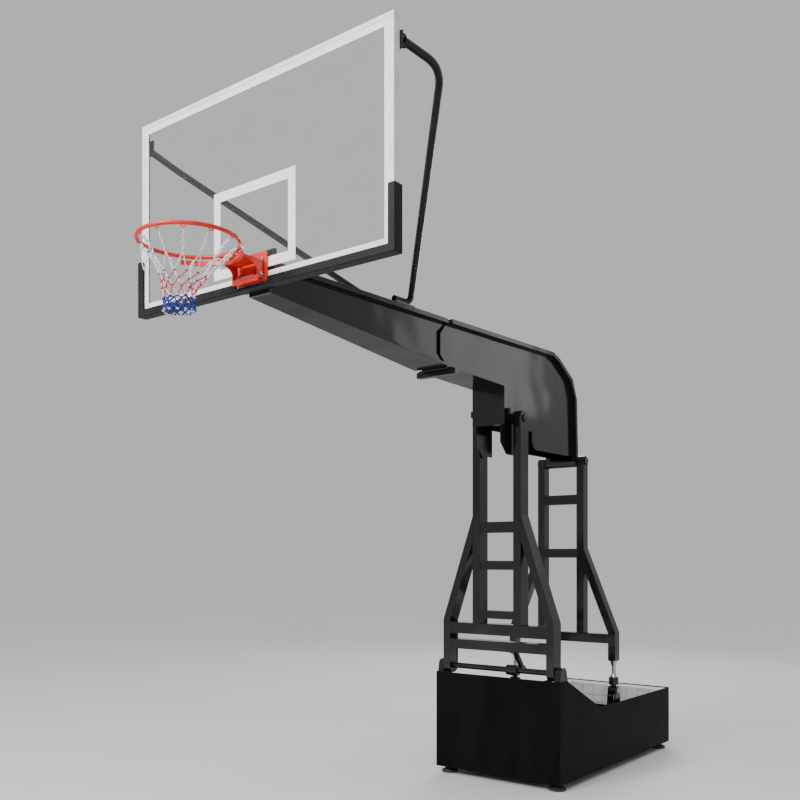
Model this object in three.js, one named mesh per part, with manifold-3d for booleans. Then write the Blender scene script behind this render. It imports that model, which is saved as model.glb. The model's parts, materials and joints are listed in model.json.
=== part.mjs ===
// Portable basketball hoop: a wheeled ballast base, two swinging ladder frames, a box arm that
// stays level as the ladders lean back, a glass backboard and a breakaway rim with its net.
// Millimetres, +Z up. The board faces -Y, the base is behind it at +Y, X is across the stand.
// While modelling, y = 0 is the front face of the board and z = 0 is the floor.
import * as THREE from 'three';
import * as BufferGeometryUtils from 'three/addons/utils/BufferGeometryUtils.js';
import Module from 'manifold-3d';

const wasm = await Module();
wasm.setup();

// ---------------------------------------------------------------- driving dimensions
const MIDDLE_Y = 1754;            // middle of the whole stand, front of the rim to back of the base
const GAP = 0.3;                  // clearance left between touching pieces
const SHEET = 5;                  // steel sheet of the base and the arm
const TUBE_WALL = 4;              // wall of the ladder tubes
const HOLE_PLAY = 0.4;            // radius play of a pin in its hole

const BASE = {
  halfWidth: 505, front: 2262, rear: 4150,
  bottom: 50, lowTop: 495, highTop: 738,
  slopeStart: 2364, slopeEnd: 2870,
};
const LINK = 1745;                // pivot to pivot length of both ladders
const FRONT_PIVOT = { y: 2328, z: 785 };
const REAR_PIVOT = { y: 3250, z: 565 };
const FRONT_TOP = { y: FRONT_PIVOT.y, z: FRONT_PIVOT.z + LINK };
const REAR_TOP = { y: REAR_PIVOT.y, z: REAR_PIVOT.z + LINK };
const PIN_RADIUS = 20;

const FRONT_LADDER = {
  depth: 106, postInner: 137, postOuter: 197, legInner: 393, legOuter: 450,
  flareTop: 1859, knee: 1122,
  rungs: [[1740, 1817], [1481, 1544], [1138, 1194]],
  crossbars: [[1022, 1100], [912, 980]],
};
const REAR_LADDER = {
  depth: 76, postInner: 139, postOuter: 198, legInner: 401, legOuter: 459,
  flareTop: 1640, knee: 1004, legBottom: 790,
  rungs: [[1978, 2052], [1565, 1635]],
  crossbar: [919, 989],
};
const ADJUSTER_X = 430;           // the two screw adjusters under the rear legs

const ARM = {
  halfWidth: 130, webHalfWidth: 100, capHalfWidth: 135, capDepth: 28, keelDepth: 16,
  top: 3060, bottomFront: 2887, bottomSeam: 2756, bottomNeck: 2735,
  frontEnd: 60, seam: 1552, tongue: 1468, insertEnd: 1700,
  neckFront: 2173, rear: 3250, frontPlateBottom: 2476, lowEdge: 2345,
  noseHalfWidth: 75, taperEnd: 1438, groove: 40, lobeRear: 2374, lobeBottom: 2278, pinZone: 2470,
};
const BOARD = {
  halfWidth: 900, bottom: 2925, top: 3975, depth: 42,
  lip: 25, lipThickness: 2, glassFront: 2.3, glassThickness: 12,
  wall: 3, flange: 24, flangeThickness: 4,
};
const PAD = { thickness: 18, lip: 24, sideTop: 3215, notchHalf: 116 };
const RIM = {
  top: 3050, innerRadius: 225, bar: 10, centreY: -398,
  plateHalf: 108, plateBottom: 2932, plateTop: 3078, plateThickness: 8,
  boltX: 79, boltLow: 2959, boltHigh: 3040,
  hinge: { y: -32, z: 2962, pin: 8, pinReach: 96, earRadius: 16, earX: 50, earThickness: 8 },
};
const CARRIER = { halfWidth: 92, sheet: 6, floor: 7, nose: -192, skirtBottom: 2926, noseBottom: 3022.5 };
// Two circles, one shifted towards the board, leave a crescent 24 mm across at the middle.
const CRESCENT = { radius: 239, outerRadius: 223, shift: 40, top: 3022, bottom: 3000 };
const HOOKS = 12;
const NET = { top: 3014, bottom: 2690, topRadius: 222, bottomRadius: 92, thickness: 6 };

const WHEEL = { radius: 50, width: 42, x: 330, front: 2470, rear: 3960, lift: 0.5 };
const FORK = { halfLength: 470, halfDepth: 38, bottom: 112, top: 150, inner: 26, thickness: 8, drop: 22 };
const FOOT = { radius: 60, height: 34, screw: 12, screwTop: 190, x: 440, front: 2345, rear: 4066 };
const AXLE = 8;                   // radius of the wheel axles
const CLEVIS = { pin: 14, lugRadius: 36, lugFoot: 48, lugInner: 21, lugOuter: 33 };
const BEARING = { bottom: 690, radius: 44, frontFoot: 56, rearFoot: 70, clearance: 3 };
const BEAM = { halfDepth: 60, bottom: 382, top: 462, wall: 6 };
const BALLAST = {
  front: 3440, rear: 4138, lowBottom: 56, lowTop: 300,
  rowFront: 3990, rowTop: 488, groove: 10, grooveHalf: 4, pitch: 100,
};
const BRACE = {
  radius: 19, wall: 3, bend: 95,
  clevis: { x: 905, y: 62, z: 3862 },
  corner: { x: 943, y: 298, z: 3830 },
  foot: { x: 98, y: 1160, z: 3076 },
  tail: { x: 92, y: 1015, z: 3076 },
};

// ---------------------------------------------------------------- materials
function paint(color, roughness, metalness) {
  return new THREE.MeshStandardMaterial({ color, roughness, metalness });
}
const blackPaint = paint(0x0b0b0c, 0.22, 0.3);
const steel = paint(0x9a9da1, 0.35, 1);
const whiteFrame = paint(0xe8e9ea, 0.35, 0.4);
const glassMaterial = paint(0xb9d3cf, 0.05, 0);
const padFoam = paint(0x141416, 0.7, 0);
const rimOrange = paint(0xe2401c, 0.35, 0.3);
const netCord = paint(0xe9e9ee, 0.85, 0);
const concrete = paint(0xd9d9d4, 0.85, 0);
const rubber = paint(0x1b1b1c, 0.8, 0);

// ---------------------------------------------------------------- solid helpers
function toManifold(geometry) {
  const bare = geometry.clone();
  bare.deleteAttribute('normal');
  bare.deleteAttribute('uv');
  const merged = BufferGeometryUtils.mergeVertices(bare, 1e-4);
  return new wasm.Manifold(new wasm.Mesh({
    numProp: 3,
    vertProperties: new Float32Array(merged.attributes.position.array),
    triVerts: new Uint32Array(merged.index.array),
  }));
}

function toGeometry(manifold) {
  const mesh = manifold.getMesh();
  const geometry = new THREE.BufferGeometry();
  geometry.setAttribute('position', new THREE.BufferAttribute(mesh.vertProperties, 3));
  geometry.setIndex(new THREE.BufferAttribute(mesh.triVerts, 1));
  const flat = geometry.toNonIndexed();
  flat.computeVertexNormals();
  return flat;
}

function join(...geometries) {
  return toGeometry(geometries.map(toManifold).reduce((all, one) => all.add(one)));
}

function cut(geometry, ...tools) {
  const cutters = tools.map(toManifold);
  return toGeometry(cutters.reduce((left, tool) => left.subtract(tool), toManifold(geometry)));
}

function overlapOf(first, second) {
  return toGeometry(toManifold(first).intersect(toManifold(second)));
}

function mesh(name, material, geometry) {
  const part = new THREE.Mesh(geometry, material);
  part.name = name;
  return part;
}

function box(x0, x1, y0, y1, z0, z1) {
  const geometry = new THREE.BoxGeometry(Math.abs(x1 - x0), Math.abs(y1 - y0), Math.abs(z1 - z0));
  return geometry.translate((x0 + x1) / 2, (y0 + y1) / 2, (z0 + z1) / 2);
}

function outlineShape(points) {
  return new THREE.Shape(points.map(([a, b]) => new THREE.Vector2(a, b)));
}

// Cutter for a hole right across the stand that a pivot pin turns in.
function pinHole(pivot) {
  return rodAlongX(PIN_RADIUS + HOLE_PLAY, -BASE.halfWidth, BASE.halfWidth, pivot.y, pivot.z);
}

// Prism whose outline lies in the Y-Z plane, running from x0 to x1.
function prismAlongX(shape, x0, x1) {
  const outline = shape instanceof THREE.Shape ? shape : outlineShape(shape);
  const depth = Math.abs(x1 - x0);
  const geometry = new THREE.ExtrudeGeometry(outline, { depth, bevelEnabled: false, curveSegments: 10 });
  return geometry.rotateX(Math.PI / 2).rotateZ(Math.PI / 2).translate(Math.min(x0, x1), 0, 0);
}

// Prism whose outline lies in the X-Z plane, running from y0 to y1.
function prismAlongY(shape, y0, y1) {
  const outline = shape instanceof THREE.Shape ? shape : outlineShape(shape);
  const geometry = new THREE.ExtrudeGeometry(outline, { depth: y1 - y0, bevelEnabled: false });
  return geometry.rotateX(Math.PI / 2).translate(0, y1, 0);
}

function rodAlongX(radius, x0, x1, y, z, sides = 32) {
  const geometry = new THREE.CylinderGeometry(radius, radius, Math.abs(x1 - x0), sides);
  return geometry.rotateZ(Math.PI / 2).translate((x0 + x1) / 2, y, z);
}

function rodAlongY(radius, y0, y1, x, z, sides = 24) {
  const geometry = new THREE.CylinderGeometry(radius, radius, Math.abs(y1 - y0), sides);
  return geometry.translate(x, (y0 + y1) / 2, z);
}

function turned(points, x, y, sides = 32) {
  const profile = points.map(([r, z]) => new THREE.Vector2(r, z));
  return new THREE.LatheGeometry(profile, sides).rotateX(Math.PI / 2).translate(x, y, 0);
}

// Round rod or tube swept along a list of centre points; the ends are flat.
function sweptRound(centres, outer, inner, sides) {
  const points = centres.map((p) => new THREE.Vector3(...p));
  const last = points.length - 1;
  const tangents = points.map((p, i) => {
    const ahead = points[Math.min(i + 1, last)].clone().sub(p).normalize();
    const behind = p.clone().sub(points[Math.max(i - 1, 0)]).normalize();
    return ahead.add(behind).normalize();
  });
  const across = new THREE.Vector3(0, 0, 1).cross(tangents[0]);
  if (across.length() < 0.1) {
    across.set(1, 0, 0);
  }
  across.normalize();
  const radii = inner > 0 ? [outer, inner] : [outer];
  const rings = radii.map(() => []);
  const positions = [];
  points.forEach((p, i) => {
    across.addScaledVector(tangents[i], -across.dot(tangents[i])).normalize();
    const up = tangents[i].clone().cross(across);
    radii.forEach((radius, layer) => {
      rings[layer].push(positions.length / 3);
      for (let k = 0; k < sides; k += 1) {
        const angle = 2 * Math.PI * k / sides;
        const spot = p.clone().addScaledVector(across, radius * Math.cos(angle));
        positions.push(...spot.addScaledVector(up, radius * Math.sin(angle)).toArray());
      }
    });
  });
  const triangles = [];
  const quad = (a, b, c, d) => triangles.push(a, b, c, a, c, d);
  for (let k = 0; k < sides; k += 1) {
    const next = (k + 1) % sides;
    rings.forEach((ring, layer) => {
      for (let i = 0; i < last; i += 1) {
        const [a, b, c, d] = [ring[i] + k, ring[i] + next, ring[i + 1] + next, ring[i + 1] + k];
        if (layer === 0) {
          quad(a, b, c, d);
        } else {
          quad(a, d, c, b);
        }
      }
    });
    if (inner > 0) {
      const [outerRing, innerRing] = rings;
      quad(outerRing[0] + next, outerRing[0] + k, innerRing[0] + k, innerRing[0] + next);
      quad(outerRing[last] + k, outerRing[last] + next, innerRing[last] + next, innerRing[last] + k);
    } else if (k > 0 && k < sides - 1) {
      triangles.push(rings[0][0], rings[0][0] + k + 1, rings[0][0] + k);
      triangles.push(rings[0][last], rings[0][last] + k, rings[0][last] + k + 1);
    }
  }
  const geometry = new THREE.BufferGeometry();
  geometry.setAttribute('position', new THREE.Float32BufferAttribute(positions, 3));
  geometry.setIndex(triangles);
  return geometry;
}

// Centre points of two straight runs joined by one round bend at the corner.
function elbowPath(start, corner, end, bendReach, bendSteps) {
  const [a, b, c] = [start, corner, end].map((p) => new THREE.Vector3(...p));
  const into = b.clone().addScaledVector(a.clone().sub(b).normalize(), bendReach);
  const out = b.clone().addScaledVector(c.clone().sub(b).normalize(), bendReach);
  const bend = new THREE.QuadraticBezierCurve3(into, b, out).getPoints(bendSteps);
  return [a, ...bend, c].map((p) => p.toArray());
}

// ---------------------------------------------------------------- base
function baseSide(side) {
  const outline = [
    [BASE.front + SHEET + GAP, BASE.bottom], [BASE.rear - SHEET - GAP, BASE.bottom],
    [BASE.rear - SHEET - GAP, BASE.lowTop], [BASE.slopeEnd, BASE.lowTop],
    [BASE.slopeStart, BASE.highTop], [BASE.front + SHEET + GAP, BASE.highTop],
  ];
  return prismAlongX(outline, side * (BASE.halfWidth - SHEET), side * BASE.halfWidth);
}

// Floor pan with four wheel slots and a threaded boss for each levelling foot.
function baseFloor() {
  const edge = BASE.halfWidth - SHEET - GAP;
  const boss = { radius: 26, height: 40 };
  const slot = { halfWidth: 48, halfLength: 64 };
  const [front, rear] = [BASE.front + SHEET + GAP, BASE.rear - SHEET - GAP];
  let pan = box(-edge, edge, front, rear, BASE.bottom, BASE.bottom + SHEET);
  const slots = [];
  const bores = [];
  for (const side of [-1, 1]) {
    for (const y of [WHEEL.front, WHEEL.rear]) {
      const x = side * WHEEL.x;
      const [y0, y1] = [y - slot.halfLength, y + slot.halfLength];
      slots.push(box(x - slot.halfWidth, x + slot.halfWidth, y0, y1, 0, 100));
    }
    for (const y of [FOOT.front, FOOT.rear]) {
      const top = BASE.bottom + boss.height;
      const profile = [[0, BASE.bottom], [boss.radius, BASE.bottom], [boss.radius, top], [0, top]];
      pan = join(pan, turned(profile, side * FOOT.x, y));
      const bore = FOOT.screw + HOLE_PLAY;
      bores.push(turned([[0, 0], [bore, 0], [bore, 200], [0, 200]], side * FOOT.x, y));
    }
  }
  return cut(pan, ...slots, ...bores);
}

// Box beam across the tray with two pairs of upright lugs for the rear ladder.
function rearBeam() {
  const edge = BASE.halfWidth - SHEET - GAP;
  const { halfDepth, bottom, top, wall } = BEAM;
  const [y0, y1] = [REAR_PIVOT.y - halfDepth, REAR_PIVOT.y + halfDepth];
  const hollow = box(-edge - 1, edge + 1, y0 + wall, y1 - wall, bottom + wall, top - wall);
  let beam = cut(box(-edge, edge, y0, y1, bottom, top), hollow);
  const lug = new THREE.Shape();
  lug.moveTo(REAR_PIVOT.y - CLEVIS.lugFoot, top - 2);
  lug.lineTo(REAR_PIVOT.y + CLEVIS.lugFoot, top - 2);
  lug.lineTo(REAR_PIVOT.y + CLEVIS.lugRadius, REAR_PIVOT.z);
  lug.absarc(REAR_PIVOT.y, REAR_PIVOT.z, CLEVIS.lugRadius, 0, Math.PI, false);
  for (const x of [-ADJUSTER_X, ADJUSTER_X]) {
    for (const side of [-1, 1]) {
      beam = join(beam, prismAlongX(lug, x + side * CLEVIS.lugInner, x + side * CLEVIS.lugOuter));
    }
  }
  return cut(beam, rodAlongX(CLEVIS.pin + HOLE_PLAY, -edge, edge, REAR_PIVOT.y, REAR_PIVOT.z));
}

function clevisPin(side) {
  const x = side * ADJUSTER_X;
  const { y, z } = REAR_PIVOT;
  const head = rodAlongX(CLEVIS.pin + 6, x + CLEVIS.lugOuter + GAP, x + CLEVIS.lugOuter + 8, y, z, 6);
  return join(rodAlongX(CLEVIS.pin, x - CLEVIS.lugOuter - 7, x + CLEVIS.lugOuter + 1, y, z), head);
}

// Upright bearing block beside each front leg, standing against the side sheet.
function frontBracket(side) {
  const { y, z } = FRONT_PIVOT;
  const block = new THREE.Shape();
  block.moveTo(y - BEARING.frontFoot, BEARING.bottom);
  block.lineTo(y + BEARING.rearFoot, BEARING.bottom);
  block.lineTo(y + BEARING.radius, z);
  block.absarc(y, z, BEARING.radius, 0, Math.PI, false);
  const inner = FRONT_LADDER.legOuter + BEARING.clearance;
  const outer = BASE.halfWidth - SHEET - GAP;
  const body = prismAlongX(block, side * inner, side * outer);
  return cut(body, pinHole(FRONT_PIVOT));
}

function frontShaft() {
  const reach = BASE.halfWidth - SHEET - 2;
  return rodAlongX(PIN_RADIUS, -reach, reach, FRONT_PIVOT.y, FRONT_PIVOT.z);
}

// Channel across the base carrying two wheels between fork cheeks.
function wheelCarrier(y) {
  const z = WHEEL.radius + WHEEL.lift;
  const { halfLength, halfDepth, bottom, top, inner, thickness, drop } = FORK;
  let carrier = box(-halfLength, halfLength, y - halfDepth, y + halfDepth, bottom, top);
  for (const side of [-1, 1]) {
    const x = side * WHEEL.x;
    for (const cheek of [-inner - thickness, inner]) {
      carrier = join(carrier, box(x + cheek, x + cheek + thickness, y - 26, y + 26, z - drop, bottom + 2));
    }
    carrier = join(carrier, rodAlongX(AXLE, x - halfDepth, x + halfDepth, y, z, 20));
  }
  return carrier;
}

function wheel(side, y) {
  const z = WHEEL.radius + WHEEL.lift;
  const half = WHEEL.width / 2;
  const bore = AXLE + HOLE_PLAY;
  const [hub, dish, shoulder] = [18, 34, WHEEL.radius - 4];
  const profile = [
    [bore, -half], [hub, -half], [dish, -half + 7], [shoulder, -half], [WHEEL.radius, -half + 4],
    [WHEEL.radius, half - 4], [shoulder, half], [dish, half - 7], [hub, half], [bore, half], [bore, -half],
  ];
  const tyre = new THREE.LatheGeometry(profile.map(([r, x]) => new THREE.Vector2(r, x)), 28);
  return tyre.rotateZ(Math.PI / 2).translate(side * WHEEL.x, y, z);
}

function foot(side, y) {
  const { radius, height, screw, screwTop } = FOOT;
  const profile = [
    [0, 0], [radius - 4, 0], [radius, 4], [radius, 14], [radius - 22, height - 8], [20, height],
    [screw, height], [screw, screwTop - 3], [screw - 3, screwTop], [0, screwTop],
  ];
  return turned(profile, side * FOOT.x, y, 24);
}

// Cast ballast blocks: low ones along the tray floor, a tall row against the rear wall.
function lowBallast(side) {
  const edge = BASE.halfWidth - SHEET - 2;
  const block = box(side * 1, side * edge, BALLAST.front, BALLAST.rear, BALLAST.lowBottom, BALLAST.lowTop);
  const wheelRoom = box(-480, 480, WHEEL.rear - 70, WHEEL.rear + 70, 0, 156);
  const footRoom = box(side * (FOOT.x - 32), side * 600, FOOT.rear - 32, 4200, 0, FOOT.screwTop + 8);
  return cut(block, wheelRoom, footRoom);
}

function ballastRow(side) {
  const edge = BASE.halfWidth - SHEET - 2;
  const { rear, rowFront, rowTop, lowTop, groove, grooveHalf, pitch } = BALLAST;
  const row = box(side * 1, side * edge, rowFront, rear, lowTop + GAP, rowTop);
  const jointDepth = rowFront + groove;
  const middle = (lowTop + rowTop) / 2;
  const joints = [box(0, side * 600, rowFront - 1, jointDepth, middle - grooveHalf, middle + grooveHalf)];
  for (let x = pitch; x < edge; x += pitch) {
    joints.push(box(side * x - grooveHalf, side * x + grooveHalf, rowFront - 1, jointDepth, 200, 600));
  }
  return cut(row, ...joints);
}

function baseGroup() {
  const group = new THREE.Group();
  group.name = 'base';
  const { halfWidth, front, rear, bottom, highTop, lowTop } = BASE;
  const frontPanel = box(-halfWidth, halfWidth, front, front + SHEET, bottom, highTop);
  const rearWall = box(-halfWidth, halfWidth, rear - SHEET, rear, bottom, lowTop);
  group.add(mesh('base_front_panel', blackPaint, frontPanel));
  group.add(mesh('base_side_left', blackPaint, baseSide(-1)));
  group.add(mesh('base_side_right', blackPaint, baseSide(1)));
  group.add(mesh('base_rear_wall', blackPaint, rearWall));
  group.add(mesh('base_floor_pan', blackPaint, baseFloor()));
  group.add(mesh('base_cross_beam', blackPaint, rearBeam()));
  group.add(mesh('front_pivot_shaft', blackPaint, frontShaft()));
  group.add(mesh('wheel_carrier_front', blackPaint, wheelCarrier(WHEEL.front)));
  group.add(mesh('wheel_carrier_rear', blackPaint, wheelCarrier(WHEEL.rear)));
  for (const [side, word] of [[-1, 'left'], [1, 'right']]) {
    group.add(mesh(`front_pivot_block_${word}`, blackPaint, frontBracket(side)));
    group.add(mesh(`rear_clevis_pin_${word}`, steel, clevisPin(side)));
    group.add(mesh(`ballast_low_${word}`, concrete, lowBallast(side)));
    group.add(mesh(`ballast_row_${word}`, concrete, ballastRow(side)));
    for (const [y, end] of [[WHEEL.front, 'front'], [WHEEL.rear, 'rear']]) {
      group.add(mesh(`wheel_${end}_${word}`, rubber, wheel(side, y)));
    }
    for (const [y, end] of [[FOOT.front, 'front'], [FOOT.rear, 'rear']]) {
      group.add(mesh(`levelling_foot_${end}_${word}`, rubber, foot(side, y)));
    }
  }
  return group;
}

// ---------------------------------------------------------------- ladders
// Upright box tube with a rounded, bored top that carries the arm.
function ladderPost(ladder, top, bottomZ, side) {
  const half = ladder.depth / 2;
  const shell = new THREE.Shape();
  shell.moveTo(top.y - half, bottomZ);
  shell.lineTo(top.y + half, bottomZ);
  shell.lineTo(top.y + half, top.z);
  shell.absarc(top.y, top.z, half, 0, Math.PI, false);
  const [x0, x1] = [ladder.postInner, ladder.postOuter];
  const post = prismAlongX(shell, side * x0, side * x1);
  const hollow = box(
    side * (x0 + TUBE_WALL), side * (x1 - TUBE_WALL),
    top.y - half + TUBE_WALL, top.y + half - TUBE_WALL, bottomZ - 1, top.z - 45,
  );
  return cut(post, hollow, pinHole(top));
}

// Flared leg: leans out from the post, then drops straight down from the knee.
function flaredLeg(ladder, pivot, bottomZ, side) {
  const width = ladder.legOuter - ladder.legInner;
  const start = ladder.postOuter + GAP;
  const slope = (ladder.legOuter - start) / (ladder.flareTop - ladder.knee);
  const band = width * Math.hypot(1, slope);
  const innerTop = ladder.flareTop - band / slope;
  const innerKnee = innerTop - (ladder.legInner - start) / slope;
  const half = ladder.depth / 2;
  const outline = (wall, low) => [
    [side * (start + wall), ladder.flareTop - wall / slope * Math.hypot(1, slope) - wall * slope],
    [side * (ladder.legOuter - wall), ladder.knee - wall * slope],
    [side * (ladder.legOuter - wall), low],
    [side * (ladder.legInner + wall), low],
    [side * (ladder.legInner + wall), innerKnee + wall * slope],
    [side * (start + wall), innerTop + wall / slope],
  ];
  const room = half - TUBE_WALL;
  const leg = prismAlongY(outline(0, bottomZ), pivot.y - half, pivot.y + half);
  const hollow = prismAlongY(outline(TUBE_WALL, bottomZ - 10), pivot.y - room, pivot.y + room);
  return { leg, hollow };
}

// The front leg ends in a round eye around the pivot shaft.
function frontLeg(side) {
  const half = FRONT_LADDER.depth / 2;
  const { leg, hollow } = flaredLeg(FRONT_LADDER, FRONT_PIVOT, FRONT_PIVOT.z, side);
  const [x0, x1] = [side * FRONT_LADDER.legInner, side * FRONT_LADDER.legOuter];
  const eye = rodAlongX(half, x0, x1, FRONT_PIVOT.y, FRONT_PIVOT.z, 40);
  const solidFoot = box(-600, 600, 2000, 2600, FRONT_PIVOT.z - 100, FRONT_PIVOT.z + 45);
  const room = cut(hollow, solidFoot);
  const back = FRONT_PIVOT.y + half;
  const drain = box(side * 410, side * 432, back - 10, back + 10, 880, 900);
  return cut(join(leg, eye), room, drain, pinHole(FRONT_PIVOT));
}

function rearLeg(side) {
  const { leg, hollow } = flaredLeg(REAR_LADDER, REAR_PIVOT, REAR_LADDER.legBottom, side);
  return cut(leg, hollow);
}

function hollowBar(halfLength, y0, y1, z0, z1) {
  const wall = TUBE_WALL;
  const room = box(-halfLength - 1, halfLength + 1, y0 + wall, y1 - wall, z0 + wall, z1 - wall);
  return cut(box(-halfLength, halfLength, y0, y1, z0, z1), room);
}

// Lever welded to the lower crossbar: a slanted flat bar, its eye and a hub round the shaft.
function frontLever() {
  const [x0, x1] = [104, 128];
  const eye = { y: FRONT_PIVOT.y + 118, z: FRONT_PIVOT.z - 6 };
  const top = FRONT_LADDER.crossbars[1][0] - GAP;
  const bar = prismAlongX([
    [FRONT_PIVOT.y - 6, top], [FRONT_PIVOT.y + 32, top], [eye.y + 17, eye.z], [eye.y - 22, eye.z],
  ], x0, x1);
  const web = box(x0, x1, FRONT_PIVOT.y, eye.y, eye.z - 14, eye.z + 14);
  const hub = rodAlongX(36, 62, 150, FRONT_PIVOT.y, FRONT_PIVOT.z);
  const end = rodAlongX(26, x0, x1, eye.y, eye.z);
  const eyeHole = rodAlongX(10, x0 - 5, x1 + 5, eye.y, eye.z, 20);
  return cut(join(bar, web, hub, end), pinHole(FRONT_PIVOT), eyeHole);
}

function frontLadderGroup() {
  const group = new THREE.Group();
  group.name = 'front_ladder';
  const half = FRONT_LADDER.depth / 2;
  const [y0, y1] = [FRONT_PIVOT.y - half, FRONT_PIVOT.y + half];
  const postBottom = FRONT_LADDER.crossbars[0][1] + GAP;
  for (const [side, word] of [[-1, 'left'], [1, 'right']]) {
    const post = ladderPost(FRONT_LADDER, FRONT_TOP, postBottom, side);
    group.add(mesh(`front_post_${word}`, blackPaint, post));
    group.add(mesh(`front_leg_${word}`, blackPaint, frontLeg(side)));
  }
  FRONT_LADDER.rungs.forEach(([z0, z1], i) => {
    const rung = hollowBar(FRONT_LADDER.postInner - GAP, y0 + 8, y1 - 8, z0, z1);
    group.add(mesh(`front_rung_${i + 1}`, blackPaint, rung));
  });
  FRONT_LADDER.crossbars.forEach(([z0, z1], i) => {
    const crossbar = hollowBar(FRONT_LADDER.legInner - GAP, y0 + 3, y1 - 3, z0, z1);
    group.add(mesh(`front_crossbar_${i + 1}`, blackPaint, crossbar));
  });
  group.add(mesh('front_lever', blackPaint, frontLever()));
  return group;
}

// Screw adjuster under a rear leg: waisted screw, round sleeve and a flat eye on the clevis pin.
function adjuster(side) {
  const { y, z } = REAR_PIVOT;
  const top = REAR_LADDER.legBottom - GAP;
  const screw = turned([
    [0, z + 25], [16, z + 25], [18, z + 42], [34, z + 44], [36, z + 48], [36, z + 96], [32, z + 102],
    [24, z + 112], [16, z + 132], [15, top - 46], [20, top - 22], [27, top - 8], [28, top], [0, top],
  ], side * ADJUSTER_X, y, 20);
  const eye = rodAlongX(34, side * ADJUSTER_X - 20, side * ADJUSTER_X + 20, y, z);
  return cut(join(screw, eye), rodAlongX(CLEVIS.pin + HOLE_PLAY, -600, 600, y, z));
}

function rearLadderGroup() {
  const group = new THREE.Group();
  group.name = 'rear_ladder';
  const half = REAR_LADDER.depth / 2;
  const [y0, y1] = [REAR_PIVOT.y - half, REAR_PIVOT.y + half];
  const [barBottom, barTop] = REAR_LADDER.crossbar;
  for (const [side, word] of [[-1, 'left'], [1, 'right']]) {
    const post = ladderPost(REAR_LADDER, REAR_TOP, barTop + GAP, side);
    group.add(mesh(`rear_post_${word}`, blackPaint, post));
    group.add(mesh(`rear_leg_${word}`, blackPaint, rearLeg(side)));
    group.add(mesh(`rear_adjuster_${word}`, steel, adjuster(side)));
  }
  REAR_LADDER.rungs.forEach(([z0, z1], i) => {
    const rung = hollowBar(REAR_LADDER.postInner - GAP, y0 + 5, y1 - 5, z0, z1);
    group.add(mesh(`rear_rung_${i + 1}`, blackPaint, rung));
  });
  const crossbar = hollowBar(REAR_LADDER.legInner - GAP, y0 + 2, y1 - 2, barBottom, barTop);
  group.add(mesh('rear_crossbar', blackPaint, crossbar));
  return group;
}

// ---------------------------------------------------------------- arm
// Side outline of the rear, goose-necked half of the arm; inset moves it inward by one sheet.
function neckOutline(inset) {
  const a = ARM;
  return [
    [a.seam, a.top - inset], [2860, 3086 - inset], [2952 - inset * 0.3, 3056 - inset],
    [3162 - inset, 2934 - inset * 0.6], [3232 - inset, 2785], [a.rear - inset, 2400],
    [a.rear - inset, a.lowEdge],
  ];
}

function neckSide() {
  const a = ARM;
  const shape = outlineShape(neckOutline(0));
  shape.lineTo(2680, a.lowEdge);
  shape.absarc(2680, a.lowEdge + 80, 80, -Math.PI / 2, -Math.PI, true);
  shape.lineTo(2600, a.pinZone);
  shape.lineTo(a.lobeRear, a.pinZone);
  shape.lineTo(a.lobeRear, a.lobeBottom);
  shape.lineTo(a.neckFront + 78, a.lobeBottom);
  shape.lineTo(a.neckFront, a.lobeBottom + 80);
  shape.lineTo(a.neckFront, a.frontPlateBottom);
  shape.lineTo(a.neckFront, a.bottomNeck);
  shape.lineTo(a.seam, a.bottomSeam);
  shape.lineTo(a.tongue, 2828);
  shape.lineTo(a.tongue, 2958);
  return shape;
}

// The room inside: open towards the front half, and open downwards below the neck.
function neckRoom() {
  const a = ARM;
  const low = 2200;
  const upper = neckOutline(SHEET);
  const rearEdge = upper[upper.length - 1][0];
  return [
    [a.tongue - 20, a.top - SHEET], ...upper.slice(0, -1), [rearEdge, low],
    [a.neckFront + SHEET, low], [a.neckFront + SHEET, a.bottomNeck + SHEET],
    [a.seam, a.bottomSeam + SHEET], [a.tongue - 20, a.bottomSeam + SHEET + 2],
  ];
}

// Raised edge strip that follows the top and the back of the goose neck.
function neckCap() {
  const outer = neckOutline(0);
  const inner = neckOutline(ARM.capDepth).reverse();
  return prismAlongX([...outer, ...inner], -ARM.capHalfWidth, ARM.capHalfWidth);
}

// Upright side plates between wider strips along the top, back, front and underside.
function armRear() {
  const a = ARM;
  const webs = prismAlongX(neckSide(), -a.webHalfWidth, a.webHalfWidth);
  const frontPlate = box(
    -a.halfWidth, a.halfWidth, a.neckFront, a.neckFront + SHEET, a.frontPlateBottom, a.bottomNeck + SHEET,
  );
  const underStrip = prismAlongX([
    [a.seam, a.bottomSeam], [a.neckFront, a.bottomNeck],
    [a.neckFront, a.bottomNeck + SHEET + 3], [a.seam, a.bottomSeam + SHEET + 3],
  ], -a.halfWidth, a.halfWidth);
  const inner = a.webHalfWidth - SHEET;
  const room = prismAlongX(neckRoom(), -inner, inner);
  const belowFrontPlate = box(
    -inner, inner, a.neckFront - 1, a.neckFront + SHEET + 1, a.lobeBottom - 20, a.frontPlateBottom,
  );
  const hollow = cut(join(webs, neckCap(), frontPlate, underStrip), room, belowFrontPlate);
  const frontSleeve = rodAlongX(36, -a.halfWidth, a.halfWidth, FRONT_TOP.y, FRONT_TOP.z);
  const rearSleeve = rodAlongX(44, -a.halfWidth, a.halfWidth, REAR_TOP.y, REAR_TOP.z, 40);
  const seamBar = box(-150, 150, a.seam + 2, a.seam + 48, a.bottomSeam - 36, a.bottomSeam + 1);
  const stops = [-1, 1].map((side) => box(
    side * (a.webHalfWidth - 2), side * 162,
    FRONT_TOP.y - 128, FRONT_TOP.y - 78, FRONT_TOP.z + 16, FRONT_TOP.z + 58,
  ));
  const body = join(hollow, frontSleeve, rearSleeve, seamBar, ...stops);
  return cut(body, pinHole(FRONT_TOP), pinHole(REAR_TOP));
}

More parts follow.
